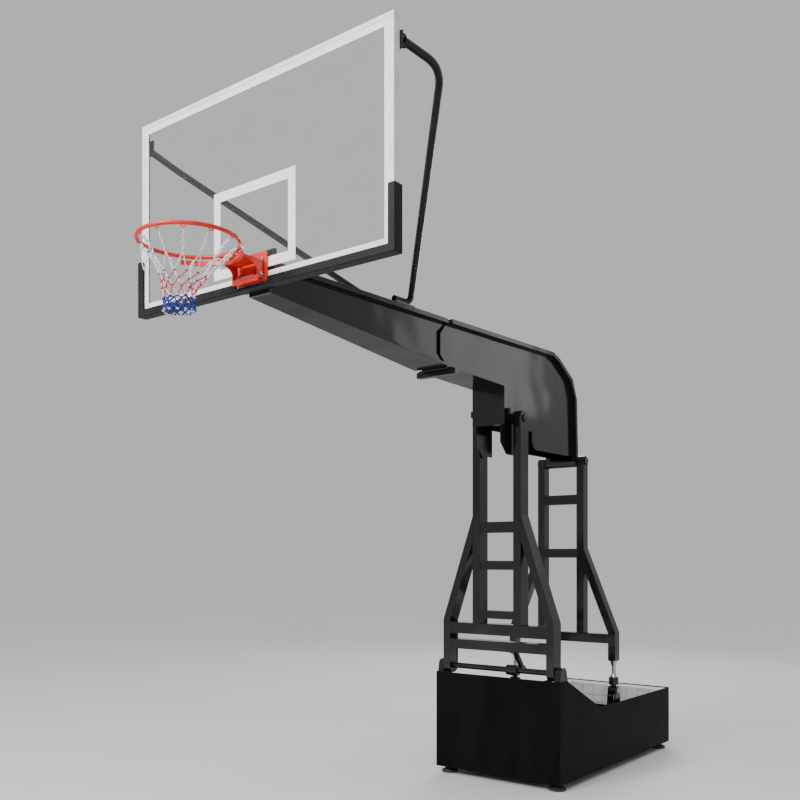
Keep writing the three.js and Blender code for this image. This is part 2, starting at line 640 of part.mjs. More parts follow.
// Plan of the front half, narrow at the nose; trim moves its sides inward.
function noseTaper(trim) {
  const a = ARM;
  const [narrow, wide] = [a.noseHalfWidth - trim, a.halfWidth - trim];
  const [first, last] = [a.frontEnd - 1, a.insertEnd + 1];
  const plan = outlineShape([
    [-narrow, first], [narrow, first], [wide, a.taperEnd],
    [wide, last], [-wide, last], [-wide, a.taperEnd],
  ]);
  const solid = new THREE.ExtrudeGeometry(plan, { depth: 600, bevelEnabled: false });
  return solid.translate(0, 0, a.bottomSeam - 100);
}

// A side outline of the front half, given its tapering width.
function tapered(outline, trim) {
  return overlapOf(prismAlongX(outline, trim - ARM.halfWidth, ARM.halfWidth - trim), noseTaper(trim));
}

// Front half: webs that stop short of the goose neck, a tongue that slides inside it, and wider
// strips along the top and the underside.
function armFront() {
  const { frontEnd, seam, tongue, insertEnd, groove, capDepth, keelDepth, bottomFront, bottomSeam } = ARM;
  const webTrim = ARM.halfWidth - ARM.webHalfWidth + 1;
  const inside = SHEET + 1;
  const top = ARM.top - inside;
  const slope = (bottomSeam - bottomFront) / (seam - frontEnd);
  const bottomAt = (y) => bottomFront + slope * (y - frontEnd);
  const skinEnd = seam - groove;
  const skinMiddle = tongue - groove;
  const joinZ = bottomSeam + inside + 2;
  const skin = tapered([
    [frontEnd, bottomAt(frontEnd)], [skinEnd, bottomAt(skinEnd)], [skinMiddle, 2828],
    [skinMiddle, 2958], [skinEnd, top], [frontEnd, top],
  ], webTrim);
  const insert = tapered([
    [tongue - 60, joinZ + 26], [seam - 20, joinZ], [insertEnd, joinZ], [insertEnd, top], [tongue - 60, top],
  ], webTrim + SHEET);
  const cap = tapered([
    [frontEnd, top - capDepth], [skinEnd, top - capDepth], [skinEnd, top], [frontEnd, top],
  ], 0);
  const keel = tapered([
    [frontEnd, bottomAt(frontEnd)], [skinEnd, bottomAt(skinEnd)],
    [skinEnd, bottomAt(skinEnd) + keelDepth], [frontEnd, bottomAt(frontEnd) + keelDepth],
  ], 0);
  const floor = joinZ + SHEET;
  const room = tapered([
    [frontEnd - 1, bottomAt(frontEnd) + SHEET], [seam, floor], [insertEnd + 1, floor],
    [insertEnd + 1, top - SHEET], [frontEnd - 1, top - SHEET],
  ], webTrim + 2 * SHEET);
  return cut(join(skin, insert, cap, keel), room);
}

function armPin(top, reach) {
  const head = { radius: 30, depth: 9 };
  const heads = [-1, 1].map(
    (side) => rodAlongX(head.radius, side * reach, side * (reach + head.depth), top.y, top.z, 6),
  );
  return join(rodAlongX(PIN_RADIUS, -reach - 1, reach + 1, top.y, top.z), ...heads);
}

// ---------------------------------------------------------------- backboard
function boardFrame() {
  const b = BOARD;
  const panel = (inset, y0, y1) => (
    box(inset - b.halfWidth, b.halfWidth - inset, y0, y1, b.bottom + inset, b.top - inset)
  );
  const ring = (width, y0, y1) => cut(panel(0, y0, y1), panel(width, y0 - 1, y1 + 1));
  return join(
    ring(b.lip, 0, b.lipThickness),
    ring(b.wall, 0, b.depth),
    ring(b.flange, b.depth - b.flangeThickness, b.depth),
  );
}

function boardGlass() {
  const b = BOARD;
  const inset = b.wall + GAP;
  const glass = box(
    -b.halfWidth + inset, b.halfWidth - inset,
    b.glassFront, b.glassFront + b.glassThickness, b.bottom + inset, b.top - inset,
  );
  const holes = [];
  for (const x of [-RIM.boltX, RIM.boltX]) {
    for (const z of [RIM.boltLow, RIM.boltHigh]) {
      holes.push(rodAlongY(9, -20, 60, x, z));
    }
  }
  return cut(glass, ...holes);
}

function boardPad() {
  const b = BOARD;
  const outer = b.halfWidth + PAD.thickness;
  const low = b.bottom - PAD.thickness;
  const back = b.depth - GAP;
  const pieces = [box(-outer, outer, -PAD.thickness, back, low, b.bottom - GAP)];
  pieces.push(box(-outer, outer, -PAD.thickness, -GAP, low, b.bottom + PAD.lip));
  for (const side of [-1, 1]) {
    pieces.push(box(side * (b.halfWidth + GAP), side * outer, -PAD.thickness, back, low, PAD.sideTop));
    pieces.push(box(side * (b.halfWidth - PAD.lip), side * outer, -PAD.thickness, -GAP, low, PAD.sideTop));
  }
  const notch = box(-PAD.notchHalf, PAD.notchHalf, -30, -GAP, b.bottom - GAP, 3100);
  return cut(join(...pieces), notch);
}

// Plate on the arm's nose with four spacers and studs that clamp glass and rim together.
function boardMount() {
  const b = BOARD;
  const back = b.glassFront + b.glassThickness + GAP;
  const [y0, y1] = [b.depth + GAP, ARM.frontEnd - GAP];
  const noseCover = ARM.noseHalfWidth - 1;
  let mount = join(box(-115, 115, y0, y1, 2912, 3100), box(-noseCover, noseCover, y0, y1, 2888, 2913));
  for (const x of [-RIM.boltX, RIM.boltX]) {
    for (const z of [RIM.boltLow, RIM.boltHigh]) {
      const plateFront = -RIM.plateThickness - GAP;
      const nut = rodAlongY(13, plateFront - 9, plateFront - GAP, x, z, 6);
      const stud = rodAlongY(7, plateFront - 12, b.depth + 4, x, z, 16);
      const spacerLift = z === RIM.boltLow ? 4 : 0;
      const spacer = rodAlongY(13, back, b.depth + 4, x, z + spacerLift);
      mount = join(mount, spacer, stud, nut);
    }
  }
  return mount;
}

// Stay from a lug high on the frame, out round a bend, down to the arm and forward along a foot plate.
function brace(side) {
  const { clevis, corner, foot, tail } = BRACE;
  const at = (p) => [side * p.x, p.y, p.z];
  const upper = elbowPath(at(clevis), at(corner), at(foot), BRACE.bend, 8);
  const lower = elbowPath(at(corner), at(foot), at(tail), 60, 6);
  const path = [...upper.slice(0, -1), ...lower.slice(1)];
  const tube = sweptRound(path, BRACE.radius, BRACE.radius - BRACE.wall, 16);
  const frameBack = BOARD.depth + GAP;
  const [inner, outer] = [clevis.x - 8, clevis.x + 8];
  const tab = box(side * 850, side * outer, frameBack, frameBack + 7, clevis.z - 40, clevis.z + 40);
  const lug = box(side * inner, side * outer, frameBack, clevis.y + 12, clevis.z - 28, clevis.z + 28);
  const armTop = ARM.top - SHEET - 1 + GAP;
  const footPlate = box(side * 62, side * 112, tail.y, foot.y + 30, armTop, armTop + 10);
  return join(tube, tab, lug, footPlate);
}

// ---------------------------------------------------------------- rim and net
function rimPlate() {
  const r = RIM;
  let plate = box(-r.plateHalf, r.plateHalf, -r.plateThickness - GAP, -GAP, r.plateBottom, r.plateTop);
  const { y, z, pin, earRadius, earX, earThickness } = r.hinge;
  const ear = new THREE.Shape();
  ear.moveTo(-r.plateThickness, z - 22);
  ear.lineTo(-r.plateThickness, z + 22);
  ear.lineTo(y, z + earRadius);
  ear.absarc(y, z, earRadius, Math.PI / 2, Math.PI * 1.5, false);
  for (const side of [-1, 1]) {
    plate = join(plate, prismAlongX(ear, side * earX, side * (earX + earThickness)));
  }
  const holes = [rodAlongX(pin + HOLE_PLAY, -200, 200, y, z)];
  for (const x of [-r.boltX, r.boltX]) {
    for (const boltZ of [r.boltLow, r.boltHigh]) {
      holes.push(rodAlongY(8, -30, 10, x, boltZ));
    }
  }
  return cut(plate, ...holes);
}

// Gusseted bracket that swings down on the hinge pin and carries the ring.
function rimCarrier() {
  const { halfWidth, sheet, floor, nose, skirtBottom, noseBottom } = CARRIER;
  const { y, z, pin, earRadius } = RIM.hinge;
  const top = RIM.top - 2 * RIM.bar - GAP;
  const knuckle = pin + HOLE_PLAY + 2.2;
  const back = y + knuckle;
  const skirt = y - earRadius - sheet - 1;
  const cheek = new THREE.Shape();
  cheek.moveTo(back, top);
  cheek.lineTo(back, z);
  cheek.absarc(y, z, knuckle, 0, -Math.PI / 2, true);
  cheek.lineTo(skirt + sheet, skirtBottom);
  cheek.lineTo(skirt, skirtBottom);
  cheek.lineTo(skirt, z + earRadius);
  cheek.quadraticCurveTo(skirt - 6, noseBottom - 8, nose + 42, noseBottom);
  cheek.lineTo(nose, noseBottom);
  cheek.lineTo(nose, top);
  const cheeks = [-1, 1].map((hand) => prismAlongX(cheek, hand * (halfWidth - sheet), hand * halfWidth));
  const topPlate = box(-halfWidth, halfWidth, nose + 42, back, top - floor, top);
  const tongue = box(-42, 42, nose, nose + 52, top - floor, top);
  const apron = box(-halfWidth, halfWidth, skirt, skirt + sheet, skirtBottom, skirtBottom + 26);
  return cut(
    join(...cheeks, topPlate, tongue, apron),
    rodAlongX(pin + HOLE_PLAY, -200, 200, y, z),
  );
}

function rimRing() {
  const ringRadius = RIM.innerRadius + RIM.bar;
  const z = RIM.top - RIM.bar;
  let ring = new THREE.TorusGeometry(ringRadius, RIM.bar, 10, 54).translate(0, RIM.centreY, z);
  for (let i = 0; i < HOOKS; i += 1) {
    const angle = (i + 0.5) * Math.PI * 2 / HOOKS;
    ring = join(ring, netHook(angle, ringRadius, z));
  }
  return ring;
}

// Half loop of thin rod whose two ends sink into the ring bar.
function netHook(angle, ringRadius, z) {
  const along = new THREE.Vector3(-Math.sin(angle), Math.cos(angle), 0);
  const [x, y] = [ringRadius * Math.cos(angle), RIM.centreY + ringRadius * Math.sin(angle)];
  const centre = new THREE.Vector3(x, y, z - RIM.bar + 3);
  const points = [];
  for (let step = 0; step <= 6; step += 1) {
    const turn = Math.PI * step / 6;
    const point = centre.clone().addScaledVector(along, 10 * Math.cos(turn));
    point.z -= 13 * Math.sin(turn);
    points.push(point.toArray());
  }
  return sweptRound(points, 2.6, 0, 6);
}

// Crescent plate under the board side of the ring, thickest over the carrier and thin at its two tips.
function rimBrace() {
  const { radius, outerRadius, shift, top, bottom } = CRESCENT;
  const plan = new THREE.CylinderGeometry(outerRadius, outerRadius, top - bottom, 72)
    .rotateX(Math.PI / 2).translate(0, RIM.centreY + shift, (top + bottom) / 2);
  const inside = new THREE.CylinderGeometry(radius, radius, top - bottom + 2, 72)
    .rotateX(Math.PI / 2).translate(0, RIM.centreY, (top + bottom) / 2);
  const tips = box(-300, 300, RIM.centreY - 400, RIM.centreY + 118, bottom - 2, top + 2);
  const [inner, outer] = [CARRIER.halfWidth - CARRIER.sheet - 1, CARRIER.halfWidth + 1];
  const cheekRoom = [-1, 1].map((side) => box(side * inner, side * outer, -174, -100, bottom - 2, top + 2));
  return cut(plan, inside, tips, ...cheekRoom);
}

function netShell() {
  const n = NET;
  const outer = [
    [n.topRadius, n.top], [190, 2958], [140, 2870], [104, 2780], [n.bottomRadius, n.bottom],
  ];
  const inner = outer.map(([r, z]) => [r - n.thickness, z]).reverse();
  const profile = [...outer, ...inner, outer[0]].reverse();
  return turned(profile, 0, RIM.centreY, 36);
}

function armGroup() {
  const group = new THREE.Group();
  group.name = 'arm';
  group.add(mesh('arm_goose_neck', blackPaint, armRear()));
  group.add(mesh('arm_front_section', blackPaint, armFront()));
  group.add(mesh('arm_front_pin', blackPaint, armPin(FRONT_TOP, FRONT_LADDER.postOuter + GAP)));
  group.add(mesh('arm_rear_pin', blackPaint, armPin(REAR_TOP, REAR_LADDER.postOuter + GAP)));
  group.add(mesh('board_mount_plate', blackPaint, boardMount()));
  group.add(mesh('board_frame', whiteFrame, boardFrame()));
  group.add(mesh('board_glass', glassMaterial, boardGlass()));
  group.add(mesh('board_pad', padFoam, boardPad()));
  group.add(mesh('board_brace_left', blackPaint, brace(-1)));
  group.add(mesh('board_brace_right', blackPaint, brace(1)));
  group.add(mesh('rim_back_plate', rimOrange, rimPlate()));
  const { y, z, pin, pinReach } = RIM.hinge;
  group.add(mesh('rim_hinge_pin', steel, rodAlongX(pin, -pinReach, pinReach, y, z)));
  return group;
}

function rimGroup() {
  const group = new THREE.Group();
  group.name = 'rim';
  group.add(mesh('rim_carrier', rimOrange, rimCarrier()));
  group.add(mesh('rim_ring', rimOrange, rimRing()));
  group.add(mesh('rim_brace', rimOrange, rimBrace()));
  group.add(mesh('net', netCord, netShell()));
  return group;
}

const hoop = new THREE.Group();
hoop.name = 'portable_basketball_hoop';
hoop.add(baseGroup(), frontLadderGroup(), rearLadderGroup(), armGroup(), rimGroup());
hoop.position.y = -MIDDLE_Y;

export default hoop;
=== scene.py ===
"""Looks of the portable basketball hoop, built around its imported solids. Metres, +Z up."""
import json
import math
import random

import bpy
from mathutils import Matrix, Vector


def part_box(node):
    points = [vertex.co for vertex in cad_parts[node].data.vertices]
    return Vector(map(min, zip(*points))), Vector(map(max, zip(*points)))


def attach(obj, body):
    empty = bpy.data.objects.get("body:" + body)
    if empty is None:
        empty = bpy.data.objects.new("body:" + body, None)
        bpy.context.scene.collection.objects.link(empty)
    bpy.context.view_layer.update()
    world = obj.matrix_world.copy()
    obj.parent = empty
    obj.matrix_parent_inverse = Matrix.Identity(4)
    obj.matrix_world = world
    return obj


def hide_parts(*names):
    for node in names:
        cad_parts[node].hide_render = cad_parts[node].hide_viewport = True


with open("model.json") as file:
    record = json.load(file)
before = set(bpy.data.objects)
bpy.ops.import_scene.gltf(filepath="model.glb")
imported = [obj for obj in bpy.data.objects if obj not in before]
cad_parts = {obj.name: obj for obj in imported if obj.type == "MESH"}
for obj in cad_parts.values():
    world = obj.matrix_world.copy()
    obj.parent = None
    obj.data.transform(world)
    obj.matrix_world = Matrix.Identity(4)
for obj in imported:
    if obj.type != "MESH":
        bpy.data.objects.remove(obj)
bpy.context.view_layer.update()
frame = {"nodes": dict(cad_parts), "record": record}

NODES = frame["nodes"]
SLOT_OF = {entry["node"]: entry["material_slot"] for entry in frame["record"]["subparts"]}

# Camera: level, standing to the player's right of the board, lens shifted to frame the stand.
CAMERA_PLACE = (3.380, -4.870, 1.572)
CAMERA_YAW = 37.58
CAMERA_LENS = 40.85
CAMERA_SHIFT = (-0.011, 0.196)
CAMERA_REACH = 200.0              # well past the far edge of the floor

# Stage: an even sky, a broad sun and three square lamps with their place, aim, width and power.
SKY_COLOUR = (0.90, 0.905, 0.91, 1.0)
SKY_STRENGTH = 0.62
SUN_STRENGTH = 0.9
SUN_SPREAD = 30                   # degrees, and so are the next two
SUN_TILT = 38
SUN_TURN = 20
LAMPS = (
    ("key", (-1.0, -7.5, 6.0), (0.0, 0.0, 1.6), 3.0, 700),
    ("panel", (4.0, 5.4, 4.7), (0.0, 0.0, 2.7), 2.4, 26),
    ("back", (-3.0, 8.0, 6.0), (0.0, 0.0, 2.0), 3.0, 220),
)
FLOOR_REACH = 60.0
FLOOR_DROP = 0.0005               # keeps the floor clear of the pieces that stand on it

# Lines printed on the glass.
BORDER_WIDTH = 0.030
BORDER_MARGIN = 0.0255            # in from the outer edge of the board frame
TARGET_WIDTH = 0.590
TARGET_HEIGHT = 0.450
TARGET_TOP_OF_BASE = 3.050
TARGET_LINE = 0.050
PRINT_THICKNESS = 0.0006
PRINT_GAP = 0.0001                # keeps the print clear of the glass

# Net: height and radius of each row of knots, from the hooks down.
HOOKS = 12
NET_ROWS = (
    (3.016, 0.217), (2.940, 0.154), (2.864, 0.104), (2.830, 0.088), (2.796, 0.077),
    (2.762, 0.071), (2.745, 0.069), (2.729, 0.069), (2.713, 0.070), (2.697, 0.071),
)
RED_FROM_ROW = 2
BLUE_FROM_ROW = 5
NET_SEED = 7
KNOT_PLAY = 0.004                 # a knot sits at most this far from its even place
NET_SWAY = 0.055                  # how far the bottom hangs away from the board
SWAY_DEPTH = 0.21                 # the sway is full this far below the ring
SWAY_CURVE = 1.6
STEM_CORD = 0.0034
DIAMOND_CORD = 0.0026
BLUE_CORD = 0.0036
DIAMOND_SAG = 0.002
DIAMOND_STEPS = 6
STEM_SIDES = 7                    # faces round a stem's cords and the slack loop
CORD_SIDES = 6                    # faces round every other cord
STEM_TURNS = 1.5
STEM_SWELL = 0.8                  # how much further apart the twisted cords are in mid stem
STEM_STEPS = 24
KNOT_SIZE = 0.0018
KNOT_STEPS = 18
SLACK_HOOK = 7
SLACK_DROP = 0.10
SLACK_STEPS = 20

# Where two finishes meet on one piece: nuts in front of the glass, screws above the painted sleeves.
GLASS_FRONT_Y = -1.757
ADJUSTER_PAINT_TOP = 0.668
PAINT_FADE = 0.0005               # half the width of the paint's edge

# Chevron seam between the two halves of the arm, darkened by a strip of painted shade: its corners from
# the bottom up, y and z.
SEAM_CHEVRON = ((-0.242, 2.772), (-0.326, 2.828), (-0.326, 2.958), (-0.245, 3.025))
SEAM_WIDTH = 0.039
SEAM_FACE_X = 0.0943
SEAM_SHADE_THICKNESS = 0.0012

# Edges: rounding of sheet and of foam, and the angles in degrees that tell edges from flat faces.
EDGE_BEVEL = 0.0016
EDGE_STEPS = 2
PAD_BEVEL = 0.0065
PAD_STEPS = 5
SAME_CORNER = 0.00002             # corners nearer to each other than this are one
FLAT_ANGLE = 1
SHARP_ANGLE = 32
CREASE_ANGLE = 40
LARGE_FACES_FIRST = 100           # the shading of an edge follows its larger face
WELD_RADIUS = 0.0035
WELD_SIDES = 6
WELD_STEPS = 12                   # along each side of a rung

# Sockets of the mix node for its factor, its two colours and its result.
MIX_FACTOR = 0
MIX_FIRST = 6
MIX_SECOND = 7
MIX_RESULT = 2


# ---------------------------------------------------------------- materials

class Shader:
    """One material's node tree, with short calls for the nodes that the finishes below use."""

    def __init__(self, name):
        self.material = bpy.data.materials.new(name)
        self.material.use_nodes = True
        self.tree = self.material.node_tree
        self.surface = self.tree.nodes["Principled BSDF"]
        self.position = self.tree.nodes.new("ShaderNodeTexCoord").outputs["Object"]

    def link(self, source, socket):
        self.tree.links.new(source, socket)

    def set(self, **values):
        """Gives settings of the surface one value all over."""
        for name, value in values.items():
            self.surface.inputs[name.replace("_", " ")].default_value = value

    def drive(self, **sources):
        """Lets settings of the surface follow patterns."""
        for name, source in sources.items():
            self.link(source, self.surface.inputs[name.replace("_", " ")])

    def bump(self, height, strength, distance):
        node = self.tree.nodes.new("ShaderNodeBump")
        node.inputs["Strength"].default_value = strength
        node.inputs["Distance"].default_value = distance
        self.link(height, node.inputs["Height"])
        self.drive(Normal=node.outputs["Normal"])

    def stretched(self, scale):
        """The place on the piece, scaled by a different amount along each axis."""
        node = self.tree.nodes.new("ShaderNodeMapping")
        node.inputs["Scale"].default_value = scale
        self.link(self.position, node.inputs["Vector"])
        return node.outputs["Vector"]

    def along(self, axis, vector=None):
        """One coordinate of a vector, or of the place on the piece."""
        node = self.tree.nodes.new("ShaderNodeSeparateXYZ")
        self.link(vector or self.position, node.inputs["Vector"])
        return node.outputs[axis]

    def facing_up(self):
        """From -1 where the surface faces down to 1 where it faces up."""
        geometry = self.tree.nodes.new("ShaderNodeNewGeometry")
        return self.along("Z", geometry.outputs["Normal"])

    def noise(self, scale, detail, roughness=0.55, vector=None):
        node = self.tree.nodes.new("ShaderNodeTexNoise")
        node.inputs["Scale"].default_value = scale
        node.inputs["Detail"].default_value = detail
        node.inputs["Roughness"].default_value = roughness
        self.link(vector or self.position, node.inputs["Vector"])
        return node.outputs["Fac"]

    def cells(self, scale):
        node = self.tree.nodes.new("ShaderNodeTexVoronoi")
        node.inputs["Scale"].default_value = scale
        self.link(self.position, node.inputs["Vector"])
        return node.outputs["Distance"]

    def remap(self, value, before, after):
        """Carries a value over from one range to another, and keeps it inside that."""
        node = self.tree.nodes.new("ShaderNodeMapRange")
        ends = ("From Min", "From Max", "To Min", "To Max")
        for name, number in zip(ends, (*before, *after)):
            node.inputs[name].default_value = number
        self.link(value, node.inputs["Value"])
        return node.outputs["Result"]

    def combined(self, operation, first, second):
        node = self.tree.nodes.new("ShaderNodeMath")
        node.operation = operation
        for socket, value in zip(node.inputs, (first, second)):
            if isinstance(value, float):
                socket.default_value = value
            else:
                self.link(value, socket)
        return node.outputs["Value"]

    def product(self, first, second):
        return self.combined("MULTIPLY", first, second)

    def total(self, first, second):
        return self.combined("ADD", first, second)

    def ramp(self, value, *stops):
        """Colour by value, between two stops that each give a value and its colour."""
        node = self.tree.nodes.new("ShaderNodeValToRGB")
        for element, (place, colour) in zip(node.color_ramp.elements, stops):
            element.position = place
            element.color = (*colour, 1.0)
        self.link(value, node.inputs["Fac"])
        return node.outputs["Color"]

    def mixed(self, factor, first, second):
        node = self.tree.nodes.new("ShaderNodeMix")
        node.data_type = "RGBA"
        self.link(factor, node.inputs[MIX_FACTOR])
        for socket, value in ((node.inputs[MIX_FIRST], first), (node.inputs[MIX_SECOND], second)):
            if isinstance(value, tuple):
                socket.default_value = (*value, 1.0)
            else:
                self.link(value, socket)
        return node.outputs[MIX_RESULT]


def gloss_black():
    """Sprayed gloss enamel: slightly wavy sheet, orange peel, faint scuffs, dust where it faces up.

    Faces that point down reflect less and get no coat, as painted shade on the undersides.
    """
    look = Shader("gloss_black")
    top_side = look.remap(look.facing_up(), (0.6, 1.0), (0.0, 1.0))
    dust = look.product(top_side, look.remap(look.noise(22.0, 8.0, 0.7), (0.50, 0.80), (0.0, 0.35)))
    paint = look.ramp(
        look.noise(3.0, 5.0), (0.35, (0.006, 0.006, 0.0064)), (0.75, (0.013, 0.013, 0.0138)),
    )
    scuffs = look.noise(40.0, 6.0, 0.7, look.stretched((0.4, 1.0, 2.5)))
    scuffed = look.remap(scuffs, (0.5, 0.8), (0.12, 0.30))
    # painted shade: faces that point down reflect less and get no coat
    shaded_underside = (-1.0, -0.6)
    look.drive(
        Base_Color=look.mixed(dust, paint, (0.12, 0.115, 0.110)),
        Roughness=look.total(scuffed, look.product(dust, 0.8)),
        Specular_IOR_Level=look.remap(look.facing_up(), shaded_underside, (0.05, 0.36)),
        Coat_Weight=look.remap(look.facing_up(), shaded_underside, (0.0, 0.10)),
    )
    waves = look.product(look.noise(2.6, 1.0), 14.0)
    peel = look.product(look.noise(170.0, 2.0), 0.05)
    look.bump(look.total(waves, peel), 0.5, 0.0016)
    look.set(Coat_Roughness=0.06)
    return look.material


def satin_black():
    """Rolled-on satin paint of the base: duller than the enamel, with scuffs and dusty streaks."""
    look = Shader("satin_black")
    streaks = look.noise(5.0, 7.0, 0.65, look.stretched((1.0, 1.0, 0.25)))
    scuffs = look.noise(48.0, 7.0, 0.7)
    look.drive(
        Base_Color=look.ramp(
            streaks, (0.35, (0.0015, 0.0015, 0.0018)), (0.80, (0.0060, 0.0058, 0.0055)),
        ),
        Roughness=look.remap(scuffs, (0.3, 0.8), (0.58, 0.40)),
    )
    look.bump(look.noise(240.0, 3.0), 0.20, 0.0004)
    look.set(Specular_IOR_Level=0.06)
    return look.material


def painted_groove_shade():
    """Matte black strip of painted shade for the arm's chevron groove, mottled a little."""
    look = Shader("painted_groove_shade")
    shade_mottle = look.noise(70.0, 6.0, 0.7)
    look.drive(
        Base_Color=look.ramp(
            shade_mottle, (0.45, (0.0010, 0.0010, 0.0012)), (0.85, (0.0080, 0.0078, 0.0075)),
        ),
        Roughness=look.remap(shade_mottle, (0.3, 0.7), (0.75, 0.92)),
    )
    look.bump(look.noise(300.0, 3.0), 0.3, 0.0004)
    look.set(Specular_IOR_Level=0.05)
    return look.material


def part_black(name, axis, level, black_above):
    """Black enamel on one side of a level and bright zinc on the other."""
    look = Shader(name)
    edge = (level - PAINT_FADE, level + PAINT_FADE)
    black = look.remap(look.along(axis), edge, (0.0, 1.0) if black_above else (1.0, 0.0))
    streaks = look.noise(60.0, 6.0, 0.6)
    zinc = look.ramp(streaks, (0.3, (0.30, 0.31, 0.33)), (0.7, (0.58, 0.59, 0.60)))
    paint = look.ramp(streaks, (0.3, (0.003, 0.003, 0.0035)), (0.7, (0.010, 0.010, 0.011)))
    look.drive(
        Base_Color=look.mixed(black, zinc, paint),
        Metallic=look.remap(black, (0.0, 1.0), (1.0, 0.0)),
        Roughness=look.remap(streaks, (0.3, 0.7), (0.22, 0.40)),
    )
    look.bump(look.noise(200.0, 3.0), 0.1, 0.0003)
    return look.material


def zinc_steel():
    """Zinc-plated steel: spangled tone and drawn streaks."""
    look = Shader("zinc_steel")
    streaks = look.noise(30.0, 6.0, 0.6, look.stretched((12.0, 1.0, 1.0)))
    look.drive(
        Base_Color=look.ramp(
            look.cells(90.0), (0.0, (0.33, 0.34, 0.36)), (0.8, (0.56, 0.57, 0.58)),
        ),
        Roughness=look.remap(streaks, (0.3, 0.7), (0.22, 0.45)),
    )
    look.bump(streaks, 0.10, 0.0003)
    look.set(Metallic=1.0)
    return look.material


def white_powder_coat():
    """Fine-grained white coat of the board frame, greyed by grime in places."""
    look = Shader("white_powder_coat")
    grime = look.noise(9.0, 7.0, 0.65)
    look.drive(
        Base_Color=look.ramp(grime, (0.30, (0.62, 0.63, 0.63)), (0.60, (0.80, 0.81, 0.82))),
        Roughness=look.remap(grime, (0.3, 0.7), (0.42, 0.28)),
    )
    look.bump(look.noise(420.0, 2.0), 0.15, 0.0003)
    return look.material


def clear_glass():
    """Toughened glass: faint green, with smears."""
    look = Shader("clear_glass")
    smears = look.noise(6.0, 7.0, 0.65, look.stretched((1.0, 1.0, 2.2)))
    look.drive(
        Base_Color=look.ramp(smears, (0.3, (0.975, 0.993, 0.985)), (0.8, (0.955, 0.980, 0.970))),
        Roughness=look.remap(smears, (0.5, 0.85), (0.0, 0.03)),
    )
    look.bump(look.noise(1.5, 1.0), 0.01, 0.0005)
    look.set(Transmission_Weight=1.0, IOR=1.5)
    return look.material


def printed_white():
    """White print on the glass, worn a little thin in places."""
    look = Shader("printed_white")
    wear = look.noise(60.0, 8.0, 0.7)
    look.drive(
        Base_Color=look.ramp(wear, (0.25, (0.60, 0.61, 0.61)), (0.5, (0.83, 0.84, 0.84))),
        Roughness=look.remap(wear, (0.3, 0.7), (0.55, 0.40)),
    )
    look.bump(look.noise(500.0, 2.0), 0.1, 0.0002)
    return look.material


def skinned_foam():
    """Moulded black foam: pebbled skin, paler where it has rubbed."""
    look = Shader("skinned_foam")
    rub = look.noise(14.0, 7.0, 0.7)
    look.drive(
        Base_Color=look.ramp(rub, (0.4, (0.005, 0.005, 0.0055)), (0.8, (0.018, 0.018, 0.019))),
        Roughness=look.remap(rub, (0.3, 0.8), (0.50, 0.74)),
    )
    look.bump(look.cells(420.0), 0.35, 0.0005)
    look.set(Specular_IOR_Level=0.22)
    return look.material


def orange_enamel():
    """Ring paint: orange-red, with darker chips and uneven sheen."""
    look = Shader("orange_enamel")
    tone = look.ramp(look.noise(18.0, 6.0), (0.3, (0.50, 0.012, 0.008)), (0.7, (0.78, 0.030, 0.014)))
    chips = look.remap(look.noise(110.0, 5.0, 0.7), (0.70, 0.73), (0.0, 0.85))
    sheen = look.remap(look.noise(50.0, 5.0), (0.3, 0.7), (0.25, 0.42))
    look.drive(
        Base_Color=look.mixed(chips, tone, (0.10, 0.045, 0.030)),
        Roughness=look.total(sheen, look.product(chips, 0.3)),
    )
    look.bump(look.noise(240.0, 3.0), 0.15, 0.0004)
    return look.material


def braided_cord(name, dark, light):
    """Matte braided cord, its fibres between a dark and a light tone."""
    look = Shader(name)
    fibres = look.noise(900.0, 3.0, 0.6, look.stretched((1.0, 1.0, 0.45)))
    look.drive(
        Base_Color=look.ramp(fibres, (0.35, dark), (0.65, light)),
        Roughness=look.remap(fibres, (0.3, 0.7), (0.92, 0.75)),
    )
    look.bump(fibres, 0.6, 0.0006)
    look.set(Sheen_Weight=0.25)
    return look.material


def cast_concrete():
    """Pale cast ballast: cloudy tone and pores."""
    look = Shader("cast_concrete")
    cloud = look.noise(8.0, 9.0, 0.7)
    solid = look.remap(look.cells(130.0), (0.05, 0.16), (0.0, 1.0))
    tone = look.ramp(cloud, (0.3, (0.56, 0.55, 0.53)), (0.7, (0.78, 0.77, 0.74)))
    look.drive(
        Base_Color=look.mixed(solid, (0.24, 0.23, 0.22), tone),
        Roughness=look.remap(cloud, (0.3, 0.7), (0.85, 0.95)),
    )
    look.bump(look.total(look.product(solid, 0.7), look.noise(260.0, 6.0)), 0.5, 0.0009)
    return look.material


def worn_rubber():
    """Rubber of the tyres and feet, paler where dirt sticks to it."""
    look = Shader("worn_rubber")
    dirt = look.noise(35.0, 7.0, 0.7)
    look.drive(
        Base_Color=look.ramp(dirt, (0.4, (0.016, 0.016, 0.016)), (0.75, (0.075, 0.070, 0.064))),
        Roughness=look.remap(dirt, (0.3, 0.7), (0.60, 0.88)),
    )
    look.bump(look.noise(320.0, 4.0), 0.35, 0.0005)
    return look.material


def weld_metal():
    """Weld bead under the black paint: uneven tone and sheen."""
    look = Shader("weld_metal")
    look.drive(
        Base_Color=look.ramp(
            look.noise(60.0, 5.0), (0.3, (0.008, 0.008, 0.009)), (0.7, (0.022, 0.022, 0.024)),
        ),
        Roughness=look.remap(look.noise(90.0, 4.0), (0.3, 0.7), (0.20, 0.40)),
    )
    look.bump(look.noise(300.0, 3.0), 0.3, 0.0006)
    return look.material


def pale_floor():
    look = Shader("pale_floor")
    look.drive(
        Base_Color=look.ramp(
            look.noise(0.6, 5.0), (0.3, (0.70, 0.70, 0.70)), (0.7, (0.74, 0.74, 0.74)),
        ),
        Roughness=look.remap(look.noise(4.0, 5.0), (0.3, 0.7), (0.55, 0.65)),
    )
    return look.material


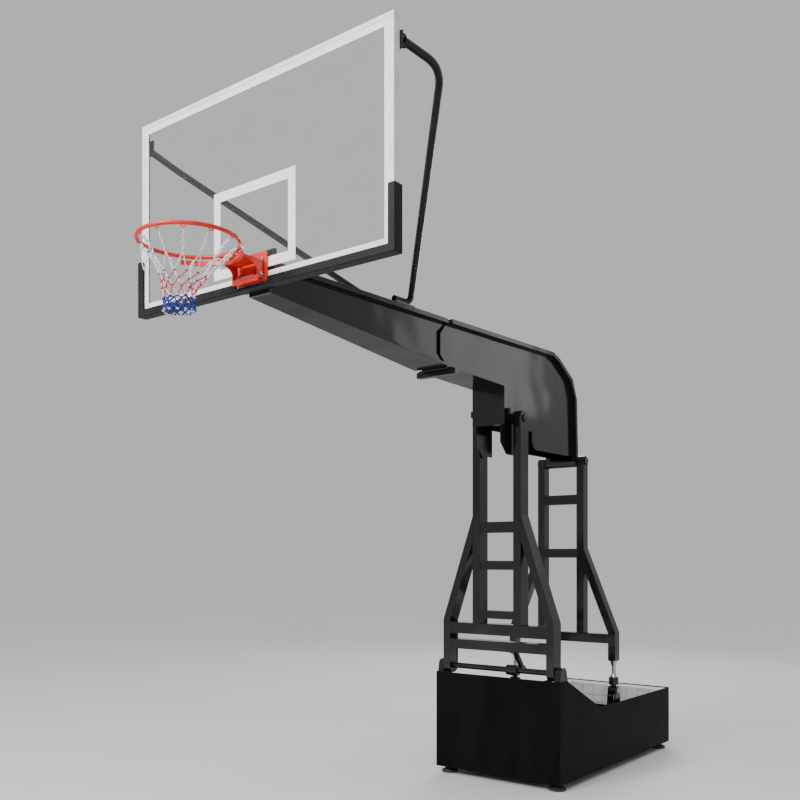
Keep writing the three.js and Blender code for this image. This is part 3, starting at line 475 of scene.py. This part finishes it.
BASE_BLACK = satin_black()
# Matte black laid in the arm's chevron groove as painted shade
GROOVE_SHADE = painted_groove_shade()
FINISHES = {
    "black_paint": gloss_black(),
    "steel": zinc_steel(),
    "white_frame": white_powder_coat(),
    "board_glass": clear_glass(),
    "pad_foam": skinned_foam(),
    "rim_orange": orange_enamel(),
    "net_cord": braided_cord("cord_white", (0.55, 0.55, 0.57), (0.86, 0.86, 0.88)),
    "concrete": cast_concrete(),
    "rubber": worn_rubber(),
}
PRINT = printed_white()
WELD = weld_metal()
CORD_RED = braided_cord("cord_red", (0.38, 0.010, 0.030), (0.70, 0.035, 0.075))
CORD_BLUE = braided_cord("cord_blue", (0.003, 0.008, 0.15), (0.008, 0.026, 0.36))

# CAD pieces whose finish isn't their slot's, and curved ones, which are shaded smooth and not bevelled.
OWN_FINISH = {
    "board_mount_plate": part_black("mount_and_nuts", "Y", GLASS_FRONT_Y, black_above=True),
}
for adjuster in ("rear_adjuster_left", "rear_adjuster_right"):
    OWN_FINISH[adjuster] = part_black(adjuster, "Z", ADJUSTER_PAINT_TOP, black_above=False)
for panel in ("base_front_panel", "base_side_left", "base_side_right", "base_rear_wall", "base_floor_pan"):
    OWN_FINISH[panel] = BASE_BLACK
CURVED_NODES = ("rim_ring", "rim_brace")


# ---------------------------------------------------------------- mesh helpers

def add_mesh(name, points, faces, material):
    mesh = bpy.data.meshes.new(name)
    mesh.from_pydata([tuple(p) for p in points], [], faces)
    mesh.validate()
    mesh.update()
    mesh.materials.append(material)
    piece = bpy.data.objects.new(name, mesh)
    bpy.context.scene.collection.objects.link(piece)
    return piece


def add_piece(name, points, faces, material, body, slot):
    """A mesh that rides on a body of the frame."""
    piece = add_mesh(name, points, faces, material)
    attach(piece, body)
    return piece


def smooth(piece):
    piece.data.polygons.foreach_set("use_smooth", [True] * len(piece.data.polygons))


def weld_corners(piece):
    """Joins the corners that the import split, so that shading can run across faces."""
    for name in ("custom_normal", "sharp_face", "sharp_edge"):
        attribute = piece.data.attributes.get(name)
        if attribute:
            piece.data.attributes.remove(attribute)
    smooth(piece)
    piece.modifiers.new("weld", "WELD").merge_threshold = SAME_CORNER


def soften_edges(piece, width, steps):
    """Merges flat triangles and rounds the sharp edges so that they catch light."""
    weld_corners(piece)
    flat = piece.modifiers.new("flat", "DECIMATE")
    flat.decimate_type = "DISSOLVE"
    flat.angle_limit = math.radians(FLAT_ANGLE)
    bevel = piece.modifiers.new("bevel", "BEVEL")
    bevel.width = width
    bevel.segments = steps
    bevel.limit_method = "ANGLE"
    bevel.angle_limit = math.radians(SHARP_ANGLE)
    normals = piece.modifiers.new("normals", "WEIGHTED_NORMAL")
    normals.weight = LARGE_FACES_FIRST


def shade_by_angle(piece):
    """Round stretches shade smoothly and corners stay crisp."""
    weld_corners(piece)
    split = piece.modifiers.new("split", "EDGE_SPLIT")
    split.split_angle = math.radians(CREASE_ANGLE)


def tube(route, radius, sides, closed=False):
    """Points and faces of a round tube along a route, turning as little as it can on the way."""
    route = [Vector(p) for p in route]
    count = len(route)
    points = []
    faces = []
    side_way = None
    for i, centre in enumerate(route):
        after = route[(i + 1) % count] if closed else route[min(i + 1, count - 1)]
        before = route[i - 1] if closed else route[max(i - 1, 0)]
        along = (after - before).normalized()
        if side_way is None:
            side_way = along.orthogonal().normalized()
        side_way = (side_way - along * side_way.dot(along)).normalized()
        up_way = along.cross(side_way)
        for k in range(sides):
            angle = 2 * math.pi * k / sides
            points.append(centre + radius * (side_way * math.cos(angle) + up_way * math.sin(angle)))
    for i in range(count if closed else count - 1):
        here = i * sides
        there = ((i + 1) % count) * sides
        for k in range(sides):
            following = (k + 1) % sides
            faces.append((here + k, here + following, there + following, there + k))
    if not closed:
        faces.append(tuple(reversed(range(sides))))
        faces.append(tuple(range((count - 1) * sides, count * sides)))
    return points, faces


def gather(parts):
    """One list of points and faces from several."""
    points = []
    faces = []
    for more_points, more_faces in parts:
        start = len(points)
        points += more_points
        faces += [tuple(start + i for i in face) for face in more_faces]
    return points, faces


def block(low, high):
    """Points and faces of a box between two corners."""
    (x0, y0, z0), (x1, y1, z1) = low, high
    points = [Vector((x, y, z)) for z in (z0, z1) for x, y in ((x0, y0), (x1, y0), (x1, y1), (x0, y1))]
    faces = [(3, 2, 1, 0), (4, 5, 6, 7), (0, 1, 5, 4), (1, 2, 6, 5), (2, 3, 7, 6), (3, 0, 4, 7)]
    return points, faces


# ---------------------------------------------------------------- pieces

def finish_cad_nodes():
    for name, node in NODES.items():
        node.data.materials.clear()
        node.data.materials.append(OWN_FINISH.get(name) or FINISHES[SLOT_OF[name]])
        if name in CURVED_NODES:
            shade_by_angle(node)
        else:
            soften_edges(node, EDGE_BEVEL, EDGE_STEPS)


def frame_lines(x0, x1, z0, z1, width, y0, y1):
    """Four bars of a rectangle standing in the X-Z plane, meeting at butted corners."""
    return gather([
        block((x0, y0, z0), (x1, y1, z0 + width)),
        block((x0, y0, z1 - width), (x1, y1, z1)),
        block((x0, y0, z0 + width), (x0 + width, y1, z1 - width)),
        block((x1 - width, y0, z0 + width), (x1, y1, z1 - width)),
    ])


def board_print():
    """Border along the board's edge and target rectangle above the ring, in front of the glass."""
    glass_low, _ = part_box("board_glass")
    frame_low, frame_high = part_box("board_frame")
    back = glass_low.y - PRINT_GAP
    front = back - PRINT_THICKNESS
    border = frame_lines(
        frame_low.x + BORDER_MARGIN, frame_high.x - BORDER_MARGIN,
        frame_low.z + BORDER_MARGIN, frame_high.z - BORDER_MARGIN,
        BORDER_WIDTH, front, back,
    )
    base = TARGET_TOP_OF_BASE - TARGET_LINE
    half = TARGET_WIDTH / 2
    target = frame_lines(-half, half, base, base + TARGET_HEIGHT, TARGET_LINE, front, back)
    for name, lines in (("board_border_line", border), ("board_target_line", target)):
        add_piece(name, *lines, PRINT, "arm", "white_frame")


def edge_pad():
    """Foam pad on the lower edge: the CAD channel with soft rounded edges."""
    piece = bpy.data.objects.new("edge_pad", NODES["board_pad"].data.copy())
    bpy.context.scene.collection.objects.link(piece)
    piece.data.materials.clear()
    piece.data.materials.append(FINISHES["pad_foam"])
    soften_edges(piece, PAD_BEVEL, PAD_STEPS)
    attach(piece, "arm")
    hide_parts("board_pad")


def net_axis(z):
    """Middle of the net at a height: it hangs away from the board towards its lower end."""
    low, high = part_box("net")
    centre = (low + high) / 2
    top, _ = NET_ROWS[0]
    depth = min(1.0, max(0.0, (top - z) / SWAY_DEPTH))
    return Vector((centre.x, centre.y - NET_SWAY * depth ** SWAY_CURVE, z))


def net_points():
    """Knot places, row by row. Below the stems, each row is turned half a step from the last."""
    draw = random.Random(NET_SEED)
    rows = []
    for row, (z, radius) in enumerate(NET_ROWS):
        half_turn = 0.5 if row == 0 or row % 2 else 0.0
        play = KNOT_PLAY if row else 0.0
        places = []
        for step in range(HOOKS):
            angle = 2 * math.pi * (step + half_turn) / HOOKS
            reach = radius + draw.uniform(-play, play)
            drop = draw.uniform(-play, play)
            out = Vector((math.cos(angle), math.sin(angle), 0.0))
            places.append(net_axis(z) + reach * out + Vector((0, 0, drop)))
        rows.append(places)
    return rows


def knot(place):
    """Overhand knot: a trefoil of cord."""
    route = []
    for k in range(KNOT_STEPS):
        t = 2 * math.pi * k / KNOT_STEPS
        route.append(place + KNOT_SIZE * Vector((
            math.sin(t) + 2 * math.sin(2 * t),
            math.cos(t) - 2 * math.cos(2 * t),
            -math.sin(3 * t),
        )))
    return tube(route, DIAMOND_CORD, CORD_SIDES, closed=True)


def sagging(start, end, sag, steps):
    """Places along a cord that hangs below the straight line by the sag at its middle."""
    route = []
    for k in range(steps + 1):
        t = k / steps
        point = start.lerp(end, t)
        point.z -= 4 * sag * t * (1 - t)
        route.append(point)
    return route


def twisted_pair(start, end):
    """Two cords laid round each other from a hook to the first knot."""
    along = (end - start).normalized()
    side_way = along.orthogonal().normalized()
    up_way = along.cross(side_way)
    cords = []
    for phase in (0.0, math.pi):
        route = []
        for k in range(STEM_STEPS + 1):
            t = k / STEM_STEPS
            angle = phase + 2 * math.pi * STEM_TURNS * t
            reach = STEM_CORD * (1.0 + STEM_SWELL * math.sin(math.pi * t))
            across = side_way * math.cos(angle) + up_way * math.sin(angle)
            route.append(start.lerp(end, t) + reach * across)
        cords.append(tube(route, STEM_CORD, STEM_SIDES))
    return cords


def slack_loop(hook, first_knot):
    """A loop of cord that has slipped and hangs from its hook back up to the middle of the stem."""
    middle = hook.lerp(first_knot, 0.5)
    return tube(sagging(hook, middle, SLACK_DROP, SLACK_STEPS), DIAMOND_CORD, STEM_SIDES)


def diamond_side(start, end, cord):
    return tube(sagging(start, end, DIAMOND_SAG, DIAMOND_STEPS), cord, CORD_SIDES)


def net():
    """Twisted white stems, then diamonds of white, of red and white, and of blue, with their knots."""
    rows = net_points()
    white = [slack_loop(rows[0][SLACK_HOOK], rows[1][SLACK_HOOK])]
    red = []
    blue = []
    for hook, first_knot in zip(rows[0], rows[1]):
        white += twisted_pair(hook, first_knot)
    last = len(rows) - 1
    for row in range(1, last):
        ahead = row % 2
        if row >= BLUE_FROM_ROW:
            left, right, cord = blue, blue, BLUE_CORD
        elif row >= RED_FROM_ROW:
            left, right, cord = red, white, DIAMOND_CORD
        else:
            left, right, cord = white, white, DIAMOND_CORD
        below = rows[row + 1]
        for step, top in enumerate(rows[row]):
            left.append(diamond_side(top, below[(step + ahead - 1) % HOOKS], cord))
            right.append(diamond_side(top, below[(step + ahead) % HOOKS], cord))
    for row in range(1, last + 1):
        if row in (1, BLUE_FROM_ROW, last):
            bundle = white
        elif row > BLUE_FROM_ROW:
            bundle = blue
        else:
            bundle = red
        for place in rows[row]:
            bundle.append(knot(place))
    for name, cords, material in (
        ("net_white", white, FINISHES["net_cord"]),
        ("net_red", red, CORD_RED),
        ("net_blue", blue, CORD_BLUE),
    ):
        piece = add_piece(name, *gather(cords), material, "rim", "net_cord")
        smooth(piece)
        if name == "net_white":
            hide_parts("net")


def weld_loop(x, low, high):
    """Weld bead around the end of a rectangular rung, in the plane at x."""
    route = []
    corners = [(low.y, low.z), (high.y, low.z), (high.y, high.z), (low.y, high.z)]
    for (y0, z0), (y1, z1) in zip(corners, corners[1:] + corners[:1]):
        for k in range(WELD_STEPS):
            t = k / WELD_STEPS
            route.append((x, y0 + (y1 - y0) * t, z0 + (z1 - z0) * t))
    return tube(route, WELD_RADIUS, WELD_SIDES, closed=True)


def rung_welds():
    """Weld beads at both ends of every rung and crossbar of the two ladders."""
    for body, names in (
        ("front_ladder", (
            "front_rung_1", "front_rung_2", "front_rung_3", "front_crossbar_1", "front_crossbar_2",
        )),
        ("rear_ladder", ("rear_rung_1", "rear_rung_2", "rear_crossbar")),
    ):
        beads = []
        for name in names:
            low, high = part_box(name)
            beads += [weld_loop(low.x, low, high), weld_loop(high.x, low, high)]
        piece = add_piece(f"{body}_welds", *gather(beads), WELD, body, "black_paint")
        smooth(piece)


def seam_groove_shade():
    """Painted shade: a thin matte black strip lying in the chevron groove on both sides of the arm,
    darkening it like a deep recess.
    """
    parts = []
    front = list(SEAM_CHEVRON)
    back = [(y + SEAM_WIDTH, z) for y, z in front]
    outline = front + back[::-1]
    count = len(outline)
    for side in (-1, 1):
        inner = side * SEAM_FACE_X
        outer = side * (SEAM_FACE_X + SEAM_SHADE_THICKNESS)
        points = [Vector((x, y, z)) for x in (inner, outer) for y, z in outline]
        faces = [tuple(range(count)), tuple(reversed(range(count, 2 * count)))]
        for k in range(count):
            following = (k + 1) % count
            faces.append((k, k + count, following + count, following))
        if side < 0:
            faces = [tuple(reversed(face)) for face in faces]
        parts.append((points, faces))
    add_piece("arm_seam_groove_shade", *gather(parts), GROOVE_SHADE, "arm", "rubber")


# ---------------------------------------------------------------- stage

def floor():
    reach = FLOOR_REACH
    points = [(-reach, -reach, 0), (reach, -reach, 0), (reach, reach, 0), (-reach, reach, 0)]
    piece = add_mesh("floor", points, [(0, 1, 2, 3)], pale_floor())
    piece.location.z = -FLOOR_DROP


def add_lamp(data):
    lamp = bpy.data.objects.new(data.name, data)
    bpy.context.scene.collection.objects.link(lamp)
    return lamp


def studio():
    world = bpy.data.worlds.new("studio")
    bpy.context.scene.world = world
    world.use_nodes = True
    sky = world.node_tree.nodes["Background"]
    sky.inputs["Color"].default_value = SKY_COLOUR
    sky.inputs["Strength"].default_value = SKY_STRENGTH
    sun = bpy.data.lights.new("sun", "SUN")
    sun.energy = SUN_STRENGTH
    sun.angle = math.radians(SUN_SPREAD)
    add_lamp(sun).rotation_euler = (math.radians(SUN_TILT), 0.0, math.radians(SUN_TURN))
    for name, place, aim, width, power in LAMPS:
        area = bpy.data.lights.new(name, "AREA")
        area.shape = "SQUARE"
        area.size = width
        area.energy = power
        lamp = add_lamp(area)
        lamp.location = place
        lamp.rotation_euler = (Vector(aim) - Vector(place)).to_track_quat("-Z", "Y").to_euler()


def camera():
    data = bpy.data.cameras.new("camera")
    data.lens = CAMERA_LENS
    data.shift_x, data.shift_y = CAMERA_SHIFT
    data.clip_end = CAMERA_REACH
    eye = bpy.data.objects.new("camera", data)
    bpy.context.scene.collection.objects.link(eye)
    eye.location = CAMERA_PLACE
    eye.rotation_euler = (math.pi / 2, 0.0, math.radians(CAMERA_YAW))
    bpy.context.scene.camera = eye


camera()
studio()
floor()
board_print()
edge_pad()
net()
rung_welds()
seam_groove_shade()
finish_cad_nodes()
